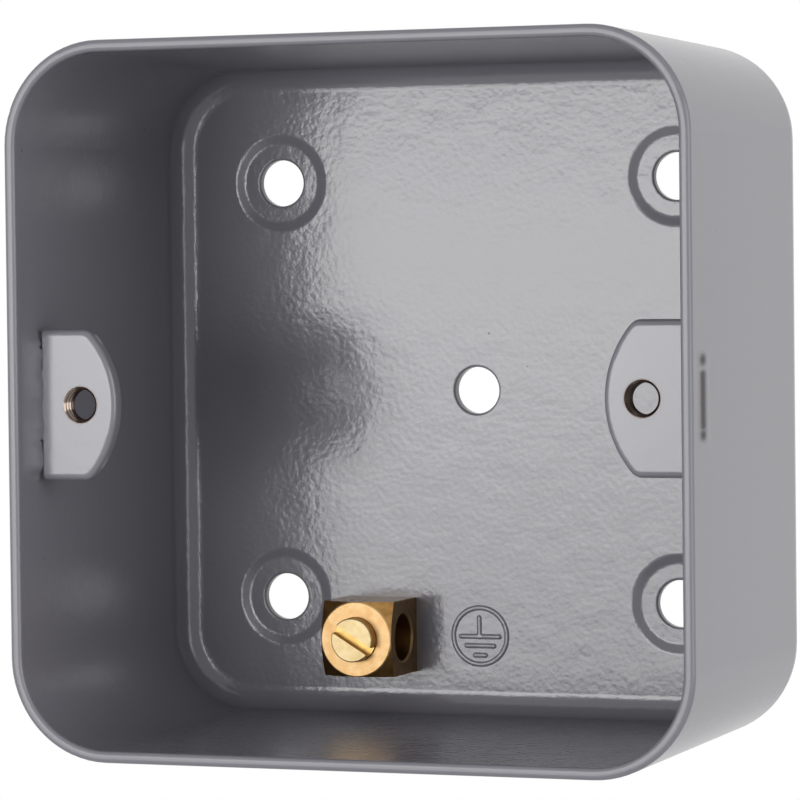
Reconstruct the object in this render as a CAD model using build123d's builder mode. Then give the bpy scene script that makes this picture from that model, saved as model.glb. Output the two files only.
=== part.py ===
from build123d import *
import os
from math import atan2, cos, degrees, radians, sqrt, tan

# Back box for a single wall accessory, deep drawn in one piece from steel sheet and powder coated.
# Sizes are in millimetres. Facing the open front, +X is right, +Z is up and +Y runs into the wall.
# The origin is the middle of the outer face of the back, the face that is screwed to the wall.
# A height is measured from that face towards the open rim, along -Y.

# Drawn shell, outside sizes at the open rim
box_width = 73.0
box_height = 73.0
box_depth = 40.0
sheet_thickness = 1.2
corner_radius = 10.5
back_edge_radius = 3.6
wall_draft = 1.0
rim_rounding = 0.45

# Holes in the back: four fixing holes in coined seats and one plain hole in the middle
fixing_spacing_x = 45.0
fixing_spacing_z = 45.0
fixing_hole_diameter = 5.0
middle_hole_diameter = 5.0
hole_edge_rounding = 0.25
seat_floor_diameter = 8.6
seat_mouth_diameter = 10.5
seat_depth = 0.28
seat_edge_rounding = 1.0

# Lugs that take the accessory's two screws, each held by a tongue in a slot of the side wall
lug_screw_spacing = 60.3
lug_setback = 4.0
lug_thickness = 1.5
lug_height = 15.4
lug_tip_beyond_screw = 4.0
lug_tip_radius = 11.0
lug_corner_radius = 1.5
lug_front_rounding = 0.65
lug_back_rounding = 0.2
lug_wall_gap = 0.8
lug_hole_diameter = 3.5
lug_hole_chamfer = 0.15
left_lug_rise = -0.4
right_lug_rise = 0.3
tongue_height = 7.3
tongue_recess = 0.2

# Earth terminal: a square brass block riveted to the back, with a cross bore for the conductor
terminal_x = -11.2
terminal_above_bottom_wall = 9.0
block_side = 8.0
block_length = 7.6
block_land_diameter = 7.8
block_corner_bevel = 30.0
conductor_bore_diameter = 5.0
bore_above_back = 3.8
bore_chamfer = 0.2
rivet_diameter = 4.0
rivet_head_diameter = 5.4
rivet_head_depth = 0.7

# Clamp screw, with its driver slot at the angle it was left
screw_diameter = 4.7
screw_length = 4.6
screw_proud = 1.3
screw_edge_chamfer = 0.12
screw_tip_chamfer = 0.5
screw_clearance = 0.05
driver_slot_width = 0.95
driver_slot_depth = 1.0
driver_slot_angle = -31.0

# Sizes worked out from those above
draft_slope = tan(radians(wall_draft))
wall_run = sheet_thickness / cos(radians(wall_draft))
seat_bevel = degrees(atan2(seat_mouth_diameter - seat_floor_diameter, 2 * seat_depth))
lug_back = box_depth - lug_setback - lug_thickness
wall_inside = box_width / 2 - (box_depth - lug_back) * draft_slope - wall_run
lug_shoulder = wall_inside - lug_wall_gap
tongue_end = wall_inside + wall_run - tongue_recess
block_front = sheet_thickness + block_length
bore_centre = sheet_thickness + bore_above_back
screw_top = block_front + screw_proud
terminal_z = terminal_above_bottom_wall + sheet_thickness - box_height / 2
terminal_axis = Axis((terminal_x, 0, terminal_z), (0, 1, 0))


def facing_front(height):
    """Plane parallel to the back at a height above its outer face, with X right and Y up."""
    return Plane.XZ.offset(height)


def terminal_section():
    """Plane through the terminal's axis: x is the radius from it, y the height above the back."""
    return Plane(origin=(terminal_x, 0, terminal_z), x_dir=(1, 0, 0), z_dir=(0, 0, -1))


def is_round(edge, diameter):
    """Whether an edge is a full circle of that diameter."""
    return edge.geom_type == GeomType.CIRCLE and edge.is_closed and abs(2 * edge.radius - diameter) < 1e-6


def plate_edges(face):
    """Edges round the lug's front (0) or back (-1) face, but for its shoulders and tongue."""
    return edges().group_by(Axis.Y)[face].filter_by(
        lambda edge: abs(edge.center().X) < lug_shoulder - 1e-6
    )


def rivet_profile():
    """Half section of the rivet, whose head is spread flush into its countersink."""
    shank, head = rivet_diameter / 2, rivet_head_diameter / 2
    with BuildLine() as outline:
        Polyline(
            (0, 0),
            (head, 0),
            (shank, rivet_head_depth),
            (shank, sheet_thickness),
            (0, sheet_thickness),
            close=True,
        )
    make_face(outline.edges())


def bevelled_bar_profile():
    """Half section of the turning that bevels the square block's corners at its front."""
    corner, land = block_side / sqrt(2), block_land_diameter / 2
    shoulder = block_front - (corner - land) * tan(radians(block_corner_bevel))
    with BuildLine() as outline:
        Polyline(
            (0, sheet_thickness),
            (corner, sheet_thickness),
            (corner, shoulder),
            (land, block_front),
            (0, block_front),
            close=True,
        )
    make_face(outline.edges())


def screw_profile():
    """Half section of the clamp screw, bevelled at its driven end and at its tip."""
    radius = screw_diameter / 2
    tip = screw_top - screw_length
    with BuildLine() as outline:
        Polyline(
            (0, tip),
            (radius - screw_tip_chamfer, tip),
            (radius, tip + screw_tip_chamfer),
            (radius, screw_top - screw_edge_chamfer),
            (radius - screw_edge_chamfer, screw_top),
            (0, screw_top),
            close=True,
        )
    make_face(outline.edges())


def lug_outline(side):
    """Plate from its shoulder, just off the side wall, to a tip cut to an arc, with its tongue."""
    tip = lug_screw_spacing / 2 - lug_tip_beyond_screw
    with Locations((side * (tip + lug_shoulder) / 2, 0)):
        Rectangle(lug_shoulder - tip, lug_height)
    with Locations((side * (tip + lug_tip_radius), 0)):
        Circle(lug_tip_radius, mode=Mode.INTERSECT)
    fillet(vertices().sort_by(Axis.X, reverse=side < 0)[:2], lug_corner_radius)
    with Locations((side * (lug_shoulder + tongue_end) / 2, 0)):
        Rectangle(tongue_end - lug_shoulder, tongue_height)


def lug(side, rise):
    """One lug on the side wall at that side (-1 left, 1 right), set off the middle by rise."""
    back_face = Plane(origin=(0, -lug_back, rise), x_dir=(1, 0, 0), z_dir=(0, -1, 0))
    with BuildSketch(back_face) as plate:
        lug_outline(side)
    extrude(plate.sketch, amount=lug_thickness)
    fillet(plate_edges(0), lug_front_rounding)
    fillet(plate_edges(-1), lug_back_rounding)

    with BuildSketch(back_face) as tapped_hole:
        with Locations((side * lug_screw_spacing / 2, 0)):
            Circle(lug_hole_diameter / 2)
    extrude(tapped_hole.sketch, amount=lug_thickness, mode=Mode.SUBTRACT)
    hole_mouths = edges().filter_by(lambda edge: is_round(edge, lug_hole_diameter))
    chamfer(hole_mouths, lug_hole_chamfer)


# Shell: a straight pan, drafted from its rim, rounded at the back and hollowed to the sheet
with BuildPart() as shell:
    with BuildSketch(facing_front(0)):
        RectangleRounded(box_width, box_height, corner_radius)
    extrude(amount=box_depth)
    draft(faces().filter_by(Axis.Y, reverse=True), facing_front(box_depth), -wall_draft)
    fillet(faces().sort_by(Axis.Y)[-1].edges(), back_edge_radius)
    offset(amount=-sheet_thickness, openings=faces().sort_by(Axis.Y)[0])
    fillet(faces().sort_by(Axis.Y)[0].edges(), rim_rounding)

    # Coined seats, pressed from the inside only, so that the back stays flat on the wall
    with BuildSketch(facing_front(sheet_thickness)):
        with GridLocations(fixing_spacing_x, fixing_spacing_z, 2, 2):
            Circle(seat_mouth_diameter / 2)
    extrude(amount=-seat_depth, taper=seat_bevel, mode=Mode.SUBTRACT)
    seat_edges = edges().filter_by(
        lambda edge: is_round(edge, seat_floor_diameter) or is_round(edge, seat_mouth_diameter)
    )
    fillet(seat_edges, seat_edge_rounding)

    # Fixing holes and middle hole, with the punched and painted edges inside rolled over
    with BuildSketch(facing_front(0)):
        with GridLocations(fixing_spacing_x, fixing_spacing_z, 2, 2):
            Circle(fixing_hole_diameter / 2)
        Circle(middle_hole_diameter / 2)
    extrude(amount=sheet_thickness, mode=Mode.SUBTRACT)
    hole_edges = edges().filter_by(
        lambda edge: is_round(edge, fixing_hole_diameter) or is_round(edge, middle_hole_diameter)
    )
    fillet(hole_edges.filter_by(lambda edge: edge.center().Y < 0), hole_edge_rounding)

    # Tongue slots with round ends in the side walls
    for side, rise in ((-1, left_lug_rise), (1, right_lug_rise)):
        with BuildSketch(Plane.YZ.offset(side * box_width / 2)):
            with Locations((-lug_back - lug_thickness / 2, rise)):
                SlotCenterToCenter(tongue_height, lug_thickness, rotation=90)
        extrude(amount=-side * 2 * wall_run, mode=Mode.SUBTRACT)

    # Countersunk hole that the terminal is riveted into
    with BuildSketch(terminal_section()):
        rivet_profile()
    revolve(axis=terminal_axis, mode=Mode.SUBTRACT)

shell.part.label = "shell"

# Lugs: plates that stand on the side walls, tapped for the accessory's screws
with BuildPart() as lug_left:
    lug(-1, left_lug_rise)

lug_left.part.label = "lug_left"

with BuildPart() as lug_right:
    lug(1, right_lug_rise)

lug_right.part.label = "lug_right"

# Terminal block: a length of square bar, bevelled, bored across, tapped and riveted
with BuildPart() as terminal_block:
    with BuildSketch(facing_front(sheet_thickness)):
        with Locations((terminal_x, terminal_z)):
            Rectangle(block_side, block_side)
    extrude(amount=block_length)
    with BuildSketch(terminal_section()):
        bevelled_bar_profile()
    revolve(axis=terminal_axis, mode=Mode.INTERSECT)

    # Conductor bore through both sides, with its mouths bevelled
    with BuildSketch(Plane.YZ.offset(terminal_x)):
        with Locations((-bore_centre, terminal_z)):
            Circle(conductor_bore_diameter / 2)
    extrude(amount=block_side / 2, both=True, mode=Mode.SUBTRACT)
    mouths = edges().filter_by(GeomType.CIRCLE).filter_by(Plane.YZ)
    chamfer(mouths, bore_chamfer)

    # Tapped hole from the front into the bore
    with BuildSketch(facing_front(bore_centre)):
        with Locations((terminal_x, terminal_z)):
            Circle(screw_diameter / 2 + screw_clearance)
    extrude(amount=block_front - bore_centre, mode=Mode.SUBTRACT)

    with BuildSketch(terminal_section()):
        rivet_profile()
    revolve(axis=terminal_axis)

terminal_block.part.label = "terminal_block"

# Clamp screw: headless and slotted, standing out of the block as it was left
with BuildPart() as terminal_screw:
    with BuildSketch(terminal_section()):
        screw_profile()
    revolve(axis=terminal_axis)
    with BuildSketch(facing_front(screw_top)):
        with Locations((terminal_x, terminal_z)):
            Rectangle(2 * screw_diameter, driver_slot_width, rotation=driver_slot_angle)
    extrude(amount=-driver_slot_depth, mode=Mode.SUBTRACT)

terminal_screw.part.label = "terminal_screw"

os.makedirs("parts", exist_ok=True)
export_step(shell.part, "parts/shell.step")
export_step(lug_left.part, "parts/lug_left.step")
export_step(lug_right.part, "parts/lug_right.step")
export_step(terminal_block.part, "parts/terminal_block.step")
export_step(terminal_screw.part, "parts/terminal_screw.step")
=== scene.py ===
from math import cos, exp, hypot, log, pi, radians, sin

import bmesh
import bpy
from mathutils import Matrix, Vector


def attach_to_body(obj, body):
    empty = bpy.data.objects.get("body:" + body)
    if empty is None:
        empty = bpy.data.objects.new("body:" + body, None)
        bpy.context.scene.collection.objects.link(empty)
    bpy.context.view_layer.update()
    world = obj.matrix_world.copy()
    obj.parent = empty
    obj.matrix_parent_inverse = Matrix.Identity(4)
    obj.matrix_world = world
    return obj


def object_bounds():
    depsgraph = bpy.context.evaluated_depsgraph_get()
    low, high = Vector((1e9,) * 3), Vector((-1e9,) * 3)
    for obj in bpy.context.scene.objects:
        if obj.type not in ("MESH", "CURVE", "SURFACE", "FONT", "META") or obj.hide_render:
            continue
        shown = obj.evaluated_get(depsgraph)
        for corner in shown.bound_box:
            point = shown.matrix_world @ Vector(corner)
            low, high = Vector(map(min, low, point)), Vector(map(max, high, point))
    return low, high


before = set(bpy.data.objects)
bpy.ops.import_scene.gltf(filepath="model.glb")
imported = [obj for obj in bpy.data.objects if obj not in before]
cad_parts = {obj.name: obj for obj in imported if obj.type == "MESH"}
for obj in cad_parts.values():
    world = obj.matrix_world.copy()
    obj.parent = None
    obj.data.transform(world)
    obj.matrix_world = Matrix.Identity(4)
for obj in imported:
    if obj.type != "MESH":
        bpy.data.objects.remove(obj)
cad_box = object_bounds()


# Drawn shell
# The back, the four walls and the rim are one drawing of 1.2 mm steel sheet, sprayed with grey
# powder and stoved, which rounds every edge and leaves an orange peel. Sizes are in millimetres
# and MM turns them to metres. The back's outer face lies at Y = 0 and its inner face at -1.2.

MM = 0.001


def srgb(code):
    """Linear colour with full alpha from an sRGB hex value such as "#8A8A90"."""
    channels = [int(code[i:i + 2], 16) / 255 for i in (1, 3, 5)]
    linear = [c / 12.92 if c <= 0.04045 else ((c + 0.055) / 1.055) ** 2.4 for c in channels]
    return (*linear, 1.0)


def add_node(tree, kind, settings=None, links=None):
    """Adds a node, sets its fields or inputs, and links other nodes' outputs to its inputs."""
    node = tree.nodes.new(kind)
    for key, value in (settings or {}).items():
        if isinstance(key, str) and hasattr(node, key):
            setattr(node, key, value)
        else:
            node.inputs[key].default_value = value
    for key, source in (links or {}).items():
        tree.links.new(source, node.inputs[key])
    return node


def new_material(name):
    """A new material, its empty node tree and the output that gives places on the object."""
    material = bpy.data.materials.new(name)
    material.use_nodes = True
    tree = material.node_tree
    tree.nodes.clear()
    return material, tree, add_node(tree, "ShaderNodeTexCoord").outputs["Object"]


def set_stops(ramp, stops):
    """Sets a colour ramp's two stops, each a position and an sRGB hex value."""
    for stop, (position, code) in zip(ramp.color_ramp.elements, stops):
        stop.position, stop.color = position, srgb(code)


outer_share = 0.3


def inside_the_walls(tree, place):
    """1 on the inner side of the walls and outer_share on their outer side. From a square core
    with its corners on the wall corners' axes, 26 mm from the middle each way, the walls' inner
    faces lie at most 9.3 mm off and their outer faces at least 9.8 mm."""
    core, inner_most, outer_least = 26.0 * MM, 9.4 * MM, 9.7 * MM
    folded = add_node(tree, "ShaderNodeVectorMath", {"operation": "ABSOLUTE"}, {0: place})
    beyond = add_node(tree, "ShaderNodeVectorMath", {"operation": "SUBTRACT", 1: (core, 1.0, core)},
                      {0: folded.outputs["Vector"]})
    clipped = add_node(tree, "ShaderNodeVectorMath", {"operation": "MAXIMUM", 1: (0.0, 0.0, 0.0)},
                       {0: beyond.outputs["Vector"]})
    reach = add_node(tree, "ShaderNodeVectorMath", {"operation": "LENGTH"},
                     {0: clipped.outputs["Vector"]})
    share = add_node(tree, "ShaderNodeMapRange",
                     {"From Min": inner_most, "From Max": outer_least,
                      "To Min": 1.0, "To Max": outer_share}, {"Value": reach.outputs["Value"]})
    return share.outputs["Result"]


powder_grey, crumb_grey = "#737279", "#3A393E"
fine_peel, broad_peel, broad_to_fine = 0.62, 2.4, 1.3
crumb_spacing, crumb_core, crumb_edge = 5.5, 0.015, 0.025
powder_rounding = 0.2
wall_foot, wall_start = -3.0, -8.0
rim_start, rim_full, rim_roughness = -39.3, -39.7, 0.32


def powder_coat(name, peel_height, roughness, wall_roughness):
    """Stoved grey polyester powder: semi-gloss, so it mirrors large shapes softly, and its
    orange peel of small bumps on wide ones breaks the edges of those reflections into flecks.
    It rounds every edge by 0.2 mm, lies smoother on the outer walls than inside and holds a
    few dark crumbs. It is thinner on the inner walls and thinnest on the rim, so duller there."""
    material, tree, place = new_material(name)
    rounded = add_node(tree, "ShaderNodeBevel", {"samples": 6, "Radius": powder_rounding * MM})
    inside = inside_the_walls(tree, place)
    fine = add_node(tree, "ShaderNodeTexNoise",
                    {"Scale": 1 / (fine_peel * MM), "Detail": 1.0, "Roughness": 0.4},
                    {"Vector": place})
    broad = add_node(tree, "ShaderNodeTexNoise",
                     {"Scale": 1 / (broad_peel * MM), "Detail": 0.0}, {"Vector": place})
    broad_bump = add_node(tree, "ShaderNodeBump", {"Distance": broad_to_fine * peel_height * MM},
                          {"Height": broad.outputs["Fac"], "Strength": inside,
                           "Normal": rounded.outputs["Normal"]})
    fine_bump = add_node(tree, "ShaderNodeBump", {"Distance": peel_height * MM},
                         {"Height": fine.outputs["Fac"], "Strength": inside,
                          "Normal": broad_bump.outputs["Normal"]})
    crumbs = add_node(tree, "ShaderNodeTexVoronoi", {"Scale": 1 / (crumb_spacing * MM)},
                      {"Vector": place})
    tone = add_node(tree, "ShaderNodeValToRGB", links={"Fac": crumbs.outputs["Distance"]})
    set_stops(tone, ((crumb_core, crumb_grey), (crumb_edge, powder_grey)))
    depth = add_node(tree, "ShaderNodeSeparateXYZ", links={"Vector": place}).outputs["Y"]
    walls = add_node(tree, "ShaderNodeMapRange",
                     {"From Min": outer_share, "From Max": 1.0,
                      "To Min": roughness, "To Max": wall_roughness}, {"Value": inside})
    up_wall = add_node(tree, "ShaderNodeMapRange",
                       {"From Min": wall_foot * MM, "From Max": wall_start * MM,
                        "To Min": roughness},
                       {"Value": depth, "To Max": walls.outputs["Result"]})
    gloss = add_node(tree, "ShaderNodeMapRange",
                     {"From Min": rim_start * MM, "From Max": rim_full * MM,
                      "To Max": rim_roughness},
                     {"Value": depth, "To Min": up_wall.outputs["Result"]})
    shader = add_node(tree, "ShaderNodeBsdfPrincipled", {"Metallic": 0.0, "IOR": 1.5},
                      {"Base Color": tone.outputs["Color"], "Roughness": gloss.outputs["Result"],
                       "Normal": fine_bump.outputs["Normal"]})
    add_node(tree, "ShaderNodeOutputMaterial", links={"Surface": shader.outputs["BSDF"]})
    return material


def dress(node, material):
    """Gives a CAD node's object one material in all its slots."""
    for slot in node.material_slots:
        slot.material = material


drawn_peel, smooth_peel = 0.025, 0.008
shell_roughness, inner_wall_roughness = 0.185, 0.265
shell_paint = powder_coat("powder_coated_drawn_steel", drawn_peel, shell_roughness,
                          inner_wall_roughness)
dress(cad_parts["shell"], shell_paint)


# Earth symbol
# The protective-earth sign is pressed up from the back with the drawing and coated with it: a
# ring 6.1 mm across round three bars and a stem, in ridges whose feet the powder has softened.

def span(start, end, steps):
    """Even values from start to end, both included."""
    return [start + (end - start) * i / steps for i in range(steps + 1)]


def smooth_step(value, low, high):
    """0 below low, 1 above high, with an S-curve between them."""
    t = min(max((value - low) / (high - low), 0.0), 1.0)
    return t * t * (3 - 2 * t)


def closed_skin(name, across, along, front, back, wraps=False):
    """Mesh object of two grids of points in mm, front(u, v) and back(u, v), sewn at the edges.
    With wraps, u runs round a full turn and its last column meets its first."""
    form = bmesh.new()
    grids = [[[form.verts.new(Vector(side(u, v)) * MM) for u in across] for v in along]
             for side in (front, back)]
    columns, rows = len(across), len(along)
    steps = [(c, (c + 1) % columns) for c in range(columns if wraps else columns - 1)]
    for grid in grids:
        for row in range(rows - 1):
            for left, right in steps:
                form.faces.new((grid[row][left], grid[row][right],
                                grid[row + 1][right], grid[row + 1][left]))
    seen, sunk = grids
    for row in (0, rows - 1):
        for left, right in steps:
            form.faces.new((seen[row][left], seen[row][right], sunk[row][right], sunk[row][left]))
    for column in (() if wraps else (0, columns - 1)):
        for row in range(rows - 1):
            form.faces.new((seen[row][column], seen[row + 1][column],
                            sunk[row + 1][column], sunk[row][column]))
    bmesh.ops.recalc_face_normals(form, faces=form.faces)
    mesh = bpy.data.meshes.new(name)
    form.to_mesh(mesh)
    form.free()
    mesh.shade_smooth()
    piece = bpy.data.objects.new(name, mesh)
    bpy.context.collection.objects.link(piece)
    return piece


def attach(piece, material, body):
    """Gives a piece its material, the body it moves with and the slot its finish comes from."""
    piece.data.materials.append(material)
    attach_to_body(piece, body)


symbol_x, symbol_z = 0.1, -26.34
symbol_reach, ring_radius = 3.5, 3.035
symbol_strokes = (((-0.09, 1.97), (-0.09, -0.06)),
                  ((-2.18, -0.06), (2.18, -0.06)),
                  ((-1.56, -1.05), (1.56, -1.05)),
                  ((-0.58, -2.06), (0.58, -2.06)))
ridge_height, ridge_sink, skin_sink = 0.15, 0.05, 0.3
flat_half_width, bar_half_width, ring_half_width = 0.1, 0.37, 0.38
sheet_thickness = 1.2


def distance_to_stroke(x, z, stroke):
    """Distance from a point to a straight stroke's centre-line."""
    (x1, z1), (x2, z2) = stroke
    run, rise = x2 - x1, z2 - z1
    along = ((x - x1) * run + (z - z1) * rise) / (run * run + rise * rise)
    along = min(max(along, 0.0), 1.0)
    return hypot(x - x1 - along * run, z - z1 - along * rise)


def symbol_height(x, z):
    """Height over the panel: flat-topped ridges that slope down to just below the panel."""
    softness, nothing = 0.06, 1e-30
    total = sum(exp(-distance_to_stroke(x, z, stroke) / softness) for stroke in symbol_strokes)
    bar = smooth_step(-softness * log(total + nothing), flat_half_width, bar_half_width)
    ring = smooth_step(abs(hypot(x, z) - ring_radius), flat_half_width, ring_half_width)
    return ridge_height - (ridge_height + ridge_sink) * min(bar, ring)


symbol_grid = span(-symbol_reach, symbol_reach, 125)
symbol = closed_skin(
    "earth_symbol", symbol_grid, symbol_grid,
    lambda x, z: (symbol_x + x, -sheet_thickness - symbol_height(x, z), symbol_z + z),
    lambda x, z: (symbol_x + x, -sheet_thickness + skin_sink, symbol_z + z))
attach(symbol, shell_paint, "box")


# Accessory lugs
# Plates of 1.5 mm steel on both side walls, sprayed with the shell. They were flat and clean
# when coated, so their powder is smoother than on the drawn walls.

lug_roughness = 0.21
lug_paint = powder_coat("powder_coated_steel_plate", smooth_peel, lug_roughness, lug_roughness)
for name in ("lug_left", "lug_right"):
    dress(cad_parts[name], lug_paint)


# Tapped threads of the lugs
# M3.5 threads with a 0.6 mm pitch, cut after coating, so the steel is bare in the holes and on
# the bevel at their mouths. Each runs on into a short collar, plunged out behind the plate.

def bare_steel(name):
    """Freshly tapped mild steel: a dark, warm grey metal under a film of cutting oil, so each
    flank shows a small bright glint of the lamps."""
    mark_size, mark_height = 0.15, 0.004
    material, tree, place = new_material(name)
    marks = add_node(tree, "ShaderNodeTexNoise", {"Scale": 1 / (mark_size * MM), "Detail": 2.0},
                     {"Vector": place})
    bump = add_node(tree, "ShaderNodeBump", {"Distance": mark_height * MM},
                    {"Height": marks.outputs["Fac"]})
    shader = add_node(tree, "ShaderNodeBsdfPrincipled",
                      {"Base Color": srgb("#7C7068"), "Metallic": 1.0, "Roughness": 0.16},
                      {"Normal": bump.outputs["Normal"]})
    add_node(tree, "ShaderNodeOutputMaterial", links={"Surface": shader.outputs["BSDF"]})
    return material


tapped_steel = bare_steel("tapped_bare_steel")
sides = (("left", -1), ("right", 1))
screw_spacing, lug_rises = 60.3, {-1: -0.4, 1: 0.3}
rim_y, lug_setback, lug_thickness = -40.0, 4.0, 1.5
plate_front = rim_y + lug_setback
plate_back = plate_front + lug_thickness
collar_length, collar_radius, collar_bevel = 0.8, 2.35, 0.25
collar_back = plate_back + collar_length
thread_pitch, thread_radius, thread_depth = 0.6, 1.75, 0.19
hole_bevel, steel_proud, steel_sunk = 0.15, 0.012, 0.05
mouth_gap, sleeve_setback, collar_lap = 0.002, 0.08, 0.04


def thread_point(side, turn, y):
    """Point on the thread's surface at an angle and a depth: straight flanks between flat crests
    and roots, cut back to the bevel at both mouths."""
    phase = (y / thread_pitch + turn / (2 * pi)) % 1.0
    flank = 1 - abs(2 * phase - 1)
    inner = thread_radius - thread_depth * min(max(1.5 * flank - 0.25, 0.0), 1.0)
    to_mouth = min(y - plate_front, collar_back - y)
    radius = max(inner, thread_radius + hole_bevel - to_mouth) - steel_proud
    return (side * screw_spacing / 2 + radius * cos(turn), y, lug_rises[side] + radius * sin(turn))


def sleeve_point(side, turn, y):
    """Point of the thread's outside, sunk in the plate and as wide as the collar behind it."""
    if y < plate_back - collar_lap:
        radius = thread_radius + hole_bevel + steel_sunk
    else:
        radius = collar_radius - max(collar_bevel - (collar_back - y), 0.0)
    y = max(y, plate_front + sleeve_setback)
    return (side * screw_spacing / 2 + radius * cos(turn), y, lug_rises[side] + radius * sin(turn))


turns = [2 * pi * i / 96 for i in range(96)]
depths = span(plate_front + mouth_gap, collar_back, 92)
for word, side in sides:
    thread = closed_skin("lug_thread_" + word, turns, depths,
                         lambda a, y, s=side: thread_point(s, a, y),
                         lambda a, y, s=side: sleeve_point(s, a, y), wraps=True)
    attach(thread, tapped_steel, "box")


# Staked wall beside each lug
# The tongue was fixed by pressing the wall in against the lug's end, so the wall swells by
# 0.8 mm beside the lug and its edge wavers. The gap stays open at the lug's two corners.

rim_half_width, wall_slope = 36.5, 0.01746
shoulder_gap, skin_in_wall, feather = 0.8, 0.95, 0.02
swell_start, swell_full, swell_end = -39.2, -36.1, -35.2
full_half_height, swell_half_height = 5.9, 8.1
edge_pits, pit_depth, pit_y, pit_length = ((5.9, 0.1), (-3.6, 0.09)), 0.8, -35.95, 0.22


def outer_wall(y):
    """Distance of a side wall's outer face from the middle, at a depth."""
    return rim_half_width - (y - rim_y) * wall_slope


def inner_wall(y):
    """Distance of a side wall's inner face from the middle, at a depth."""
    return outer_wall(y) - sheet_thickness


def swelling(side, y, z):
    """How far the wall swells in, most beside the lug, with two small pits in its edge."""
    near_lug = smooth_step(y, swell_start, swell_full)
    height = 1 - smooth_step(abs(z), full_half_height, swell_half_height)
    waver = 0.07 * sin(1.7 * z + side) + 0.03 * sin(4.3 * z + 2.0 * side)
    pits = sum(pit_depth * exp(-((y - pit_y) ** 2 / pit_length ** 2 + (z - spot) ** 2 / radius ** 2))
               for spot, radius in edge_pits)
    return (shoulder_gap + waver) * near_lug * height - pits - feather


swell_depths = span(swell_start - 0.2, swell_end, 70)
swell_heights = span(-swell_half_height - 0.5, swell_half_height + 0.5, 172)
for word, side in sides:
    swell = closed_skin(
        "staked_wall_" + word, swell_depths, swell_heights,
        lambda y, z, s=side: (s * (inner_wall(y) - swelling(s, y, z)), y, lug_rises[s] + z),
        lambda y, z, s=side: (s * (inner_wall(y) + skin_in_wall), y, lug_rises[s] + z))
    attach(swell, shell_paint, "box")


# Paint over the slots of the lugs
# Outside, the tongue's end was dressed down and painted over with the wall. The seam still
# shows as a dark line and two pits, where the powder is thin and rust has browned it.

rust_brown, rust_roughness = "#362D2C", 0.6
seam_y, seam_rise, seam_drop = -36.4, 0.15, 0.27
seam_half_length, pit_height = 2.5, 3.62
film_middle, film_half_width, film_half_height = -36.15, 2.2, 5.2
film_height, film_fall, film_sunk = 0.012, 0.035, 0.195
side_slope, end_slope, film_lip = 0.45, 0.5, 0.05


def seam_paint(name, middle_y, middle_z):
    """The shell's powder, but thin in the seam, where brown rust shows through it: darkest and
    matt along the line and in the two pits, and fading out over about 1 mm. A mark is measured
    from its start height: the line is filled below it, and a pit is round it."""
    material = powder_coat(name, smooth_peel, shell_roughness, shell_roughness)
    tree = material.node_tree
    shader = next(node for node in tree.nodes if node.type == "BSDF_PRINCIPLED")
    powder = shader.inputs["Base Color"].links[0].from_socket
    place = add_node(tree, "ShaderNodeTexCoord").outputs["Object"]
    marks = []
    for start, drop, spread_y, spread_z, filled in ((seam_half_length, seam_drop, 1.8, 0.75, True),
                                                    (pit_height, 0.0, 1.9, 1.05, False)):
        middle = (0.0, middle_y * MM, (middle_z - drop) * MM)
        offset = add_node(tree, "ShaderNodeVectorMath", {"operation": "SUBTRACT", 1: middle},
                          {0: place})
        folded = add_node(tree, "ShaderNodeVectorMath", {"operation": "ABSOLUTE"},
                          {0: offset.outputs["Vector"]})
        past = add_node(tree, "ShaderNodeVectorMath",
                        {"operation": "SUBTRACT", 1: (0.0, 0.0, start * MM)},
                        {0: folded.outputs["Vector"]})
        if filled:
            past = add_node(tree, "ShaderNodeVectorMath", {"operation": "MAXIMUM", 1: (0.0, 0.0, 0.0)},
                            {0: past.outputs["Vector"]})
        scaled = add_node(tree, "ShaderNodeVectorMath",
                          {"operation": "MULTIPLY", 1: (0.0, 1 / (spread_y * MM), 1 / (spread_z * MM))},
                          {0: past.outputs["Vector"]})
        reach = add_node(tree, "ShaderNodeVectorMath", {"operation": "LENGTH"},
                         {0: scaled.outputs["Vector"]})
        marks.append(add_node(tree, "ShaderNodeMapRange",
                              {"interpolation_type": "SMOOTHSTEP", "From Min": 0.05, "From Max": 1.0,
                               "To Min": 1.0, "To Max": 0.0}, {"Value": reach.outputs["Value"]}))
    both = add_node(tree, "ShaderNodeMath", {"operation": "MAXIMUM"},
                    {0: marks[0].outputs["Result"], 1: marks[1].outputs["Result"]})
    rust = add_node(tree, "ShaderNodeMixRGB", {2: srgb(rust_brown)},
                    {"Fac": both.outputs["Value"], 1: powder})
    dullness = add_node(tree, "ShaderNodeMapRange", {"To Min": shell_roughness, "To Max": rust_roughness},
                        {"Value": both.outputs["Value"]})
    tree.links.new(rust.outputs["Color"], shader.inputs["Base Color"])
    tree.links.new(dullness.outputs["Result"], shader.inputs["Roughness"])
    return material


def slot_paint_front(side, y, z):
    """Point of the paint over a slot: a thin film that ends just below the wall around it."""
    wander = 0.003 * sin(1.9 * z) + 0.002 * sin(4.7 * z + 3.0 * y)
    beside = smooth_step(abs(y - film_middle), film_half_width - side_slope,
                         film_half_width - film_lip)
    beyond = smooth_step(abs(z), film_half_height - end_slope, film_half_height - film_lip)
    lift = film_height + wander - film_fall * max(beside, beyond)
    return (side * (outer_wall(y) + lift), y, lug_rises[side] + z)


film_across = span(film_middle - film_half_width, film_middle + film_half_width, 55)
film_along = span(-film_half_height, film_half_height, 130)
for word, side in sides:
    cover = closed_skin(
        "slot_paint_" + word, film_across, film_along,
        lambda y, z, s=side: slot_paint_front(s, y, z),
        lambda y, z, s=side: (s * (outer_wall(y) - film_sunk), y, lug_rises[s] + z))
    browned = seam_paint("browned_powder_coat_" + word, seam_y, lug_rises[side] + seam_rise)
    attach(cover, browned, "box")


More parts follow.
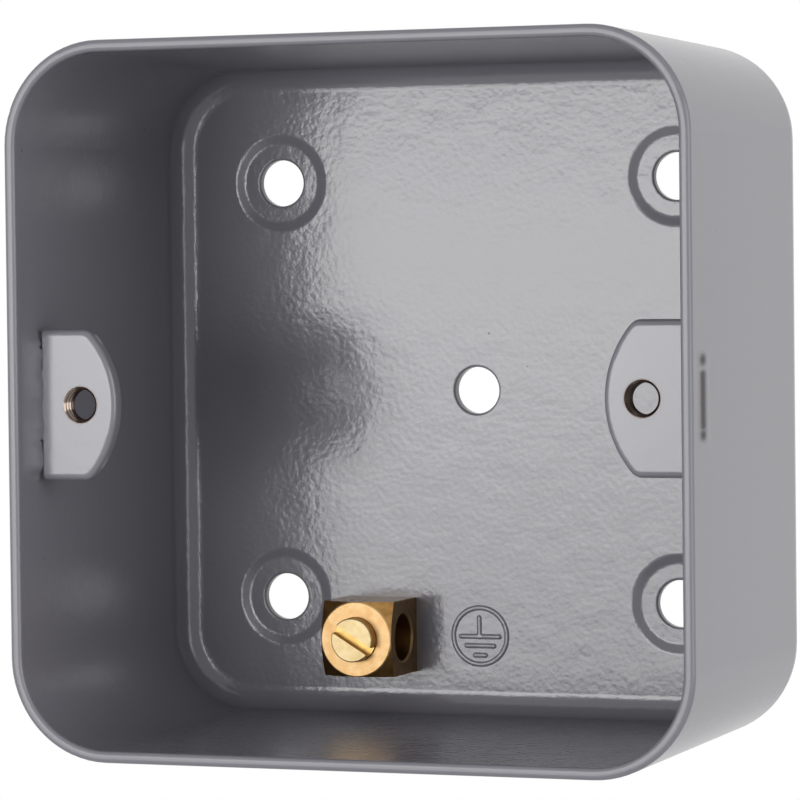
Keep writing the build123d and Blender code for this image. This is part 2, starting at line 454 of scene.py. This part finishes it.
# Earth terminal
# A block sawn from square brass bar, turned on its front, bored across, tapped, and riveted
# through the back after coating. Its clamp screw is turned brass with a milled slot.

terminal_x, terminal_z, bore_y, bore_radius, bore_bevel = -11.2, -26.3, -5.0, 2.5, 0.2
face_blend, bore_blend, bevel_margin = 0.05, 0.04, 0.01
bore_brightness, turned_roughness = 0.35, 0.52
ring_spacing, grain_size, grain_to_rings = 0.12, 0.2, 1.6
cloud_size, all_dull, all_bright = 0.9, 0.32, 0.66


def turned_brass(name, face_height, face, skin, skin_roughness, mark_height):
    """Brass bar whose turned front, above face_height, and cross bore are bright and matt with
    fine tool marks, and whose other sides keep a smoother, dull skin that mirrors the walls.
    The bore is duller inside than on the bevel at its mouths."""
    material, tree, place = new_material(name)
    parts = add_node(tree, "ShaderNodeSeparateXYZ", links={"Vector": place}).outputs
    turned = add_node(tree, "ShaderNodeMapRange",
                      {"From Min": -face_height * MM, "From Max": -(face_height + face_blend) * MM},
                      {"Value": parts["Y"]}).outputs["Result"]
    from_bore = add_node(tree, "ShaderNodeVectorMath",
                         {"operation": "SUBTRACT", 1: (0.0, bore_y * MM, terminal_z * MM)},
                         {0: place})
    across_bore = add_node(tree, "ShaderNodeVectorMath",
                           {"operation": "MULTIPLY", 1: (0.0, 1.0, 1.0)},
                           {0: from_bore.outputs["Vector"]})
    off_bore = add_node(tree, "ShaderNodeVectorMath", {"operation": "LENGTH"},
                        {0: across_bore.outputs["Vector"]})
    bevelled = add_node(tree, "ShaderNodeMapRange",
                        {"From Min": bore_radius * MM, "From Max": (bore_radius + bore_blend) * MM,
                         "To Min": bore_brightness, "To Max": 1.0},
                        {"Value": off_bore.outputs["Value"]})
    bevel_end = bore_radius + bore_bevel
    bored = add_node(tree, "ShaderNodeMapRange",
                     {"From Min": (bevel_end + bevel_margin) * MM,
                      "From Max": (bevel_end + bore_blend) * MM, "To Max": 0.0},
                     {"Value": off_bore.outputs["Value"], "To Min": bevelled.outputs["Result"]})
    cut = add_node(tree, "ShaderNodeMath", {"operation": "MAXIMUM"},
                   {0: turned, 1: bored.outputs["Result"]}).outputs["Value"]
    offset = add_node(tree, "ShaderNodeVectorMath",
                      {"operation": "SUBTRACT", 1: (terminal_x * MM, 0.0, terminal_z * MM)},
                      {0: place})
    flat = add_node(tree, "ShaderNodeVectorMath",
                    {"operation": "MULTIPLY", 1: (1.0, 0.0, 1.0)}, {0: offset.outputs["Vector"]})
    radius = add_node(tree, "ShaderNodeVectorMath", {"operation": "LENGTH"},
                      {0: flat.outputs["Vector"]})
    rings = add_node(tree, "ShaderNodeTexNoise",
                     {"noise_dimensions": "1D", "Scale": 1 / (ring_spacing * MM), "Detail": 2.0},
                     {"W": radius.outputs["Value"]})
    grain = add_node(tree, "ShaderNodeTexNoise", {"Scale": 1 / (grain_size * MM), "Detail": 3.0},
                     {"Vector": place})
    ring_bump = add_node(tree, "ShaderNodeBump", {"Distance": mark_height * MM},
                         {"Height": rings.outputs["Fac"]})
    grain_bump = add_node(tree, "ShaderNodeBump", {"Distance": grain_to_rings * mark_height * MM},
                          {"Height": grain.outputs["Fac"], "Normal": ring_bump.outputs["Normal"]})
    cloud = add_node(tree, "ShaderNodeTexNoise", {"Scale": 1 / (cloud_size * MM), "Detail": 4.0},
                     {"Vector": place})
    tones = []
    for bright, dull in (skin, face):
        tone = add_node(tree, "ShaderNodeValToRGB", links={"Fac": cloud.outputs["Fac"]})
        set_stops(tone, ((all_dull, dull), (all_bright, bright)))
        tones.append(tone.outputs["Color"])
    colour = add_node(tree, "ShaderNodeMixRGB", links={"Fac": cut, 1: tones[0], 2: tones[1]})
    roughness = add_node(tree, "ShaderNodeMapRange", {"To Min": skin_roughness, "To Max": turned_roughness},
                         {"Value": cut})
    shader = add_node(tree, "ShaderNodeBsdfPrincipled", {"Metallic": 1.0},
                      {"Base Color": colour.outputs["Color"],
                       "Roughness": roughness.outputs["Result"],
                       "Normal": grain_bump.outputs["Normal"]})
    add_node(tree, "ShaderNodeOutputMaterial", links={"Surface": shader.outputs["BSDF"]})
    return material


dress(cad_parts["terminal_block"],
      turned_brass("turned_brass_bar", face_height=8.7, face=("#C5A67A", "#B89362"),
                   skin=("#A8814C", "#8A6638"), skin_roughness=0.24, mark_height=0.008))
dress(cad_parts["terminal_screw"],
      turned_brass("turned_brass_screw", face_height=9.95, face=("#C1AF88", "#B29C71"),
                   skin=("#C29F61", "#AE8A4E"), skin_roughness=0.45, mark_height=0.005))


# Studio
# White surround and a white floor 90 mm below the box, which hangs clear of it. One large
# softbox at the left, brightest in the middle of its three bands, and a weaker one at the right.

def seen_directly(tree):
    """1 for rays that show the background itself: from the camera, in gloss or through glass."""
    path = add_node(tree, "ShaderNodeLightPath").outputs
    gloss = add_node(tree, "ShaderNodeMath", {"operation": "MAXIMUM"},
                     {0: path["Is Camera Ray"], 1: path["Is Glossy Ray"]})
    every = add_node(tree, "ShaderNodeMath", {"operation": "MAXIMUM"},
                     {0: gloss.outputs["Value"], 1: path["Is Transmission Ray"]})
    return every.outputs["Value"]


tent_light = 0.42
world = bpy.data.worlds.new("white_tent")
bpy.context.scene.world = world
world.use_nodes = True
sky = world.node_tree
sky.nodes.clear()
tent = add_node(sky, "ShaderNodeBackground", {"Color": srgb("#FFFFFF"), "Strength": tent_light})
white = add_node(sky, "ShaderNodeBackground", {"Color": srgb("#FFFFFF"), "Strength": 1.0})
either = add_node(sky, "ShaderNodeMixShader",
                  links={"Fac": seen_directly(sky), 1: tent.outputs[0], 2: white.outputs[0]})
add_node(sky, "ShaderNodeOutputWorld", links={"Surface": either.outputs[0]})

# Matt white paper: under the box its own shade shows at 40 %, with the box's shadow, and it
# fades to plain white within half a metre.
floor_drop, floor_half_side = 90.0, 3000.0
fade_start, fade_end, paper_share = 100.0, 500.0, 0.6
floor_form = bmesh.new()
bmesh.ops.create_grid(floor_form, x_segments=2, y_segments=2, size=floor_half_side * MM)
floor_mesh = bpy.data.meshes.new("floor")
floor_form.to_mesh(floor_mesh)
floor_form.free()
floor = bpy.data.objects.new("floor", floor_mesh)
bpy.context.collection.objects.link(floor)
floor.location = (0, 0, cad_box[0][2] - floor_drop * MM)

paper, tree, place = new_material("white_paper_floor")
away = add_node(tree, "ShaderNodeVectorMath", {"operation": "LENGTH"}, {0: place})
fade = add_node(tree, "ShaderNodeMapRange",
                {"From Min": fade_start * MM, "From Max": fade_end * MM,
                 "To Min": paper_share, "To Max": 1.0},
                {"Value": away.outputs["Value"]})
share = add_node(tree, "ShaderNodeMath", {"operation": "MULTIPLY"},
                 {0: seen_directly(tree), 1: fade.outputs["Result"]})
sheet = add_node(tree, "ShaderNodeBsdfDiffuse", {"Color": srgb("#F2F2F2")})
glow = add_node(tree, "ShaderNodeEmission", {"Color": srgb("#FFFFFF"), "Strength": 1.0})
both = add_node(tree, "ShaderNodeMixShader",
                links={"Fac": share.outputs["Value"], 1: sheet.outputs[0], 2: glow.outputs[0]})
add_node(tree, "ShaderNodeOutputMaterial", links={"Surface": both.outputs[0]})
floor_mesh.materials.append(paper)


def softbox(name, centre, target, width, height, strength):
    """Rectangular lamp at centre that faces target, sized in mm, with even radiance strength."""
    lamp = bpy.data.lights.new(name, "AREA")
    lamp.shape = "RECTANGLE"
    lamp.size, lamp.size_y = width * MM, height * MM
    lamp.energy = strength * pi * width * height * MM * MM
    holder = bpy.data.objects.new(name, lamp)
    bpy.context.collection.objects.link(holder)
    start, end = Vector(centre) * MM, Vector(target) * MM
    holder.location = start
    holder.rotation_euler = (end - start).to_track_quat("-Z", "Y").to_euler()
    holder.visible_camera = False


# The back mirrors the left softbox, cut off by the left wall and its lug.
left_x, left_y, left_width = -212, -620, 380
for band, middle_z, band_height, strength in (("upper", 87, 34, 5.2), ("middle", 22.5, 95, 9.5),
                                              ("lower", -82, 114, 6.1)):
    softbox("softbox_left_" + band, (left_x, left_y, middle_z), (left_x, 0, middle_z),
            left_width, band_height, strength)
softbox("softbox_right", (700, -250, 60), (0, -20, 0), 500, 600, 3.2)

# The photo's camera: 0.46 m off, to the right of the box and level with it, with a long lens.
camera_data = bpy.data.cameras.new("camera")
camera_data.sensor_width = 36.0
camera_data.lens = 192.653
camera_data.clip_start, camera_data.clip_end = 0.02, 20.0
camera = bpy.data.objects.new("camera", camera_data)
bpy.context.collection.objects.link(camera)
camera.location = Vector((160.879, -429.698, 13.723)) * MM
camera.rotation_euler = (radians(88.1638), radians(0.6569), radians(21.5864))
bpy.context.scene.camera = camera
bpy.context.scene.view_settings.view_transform = "Standard"
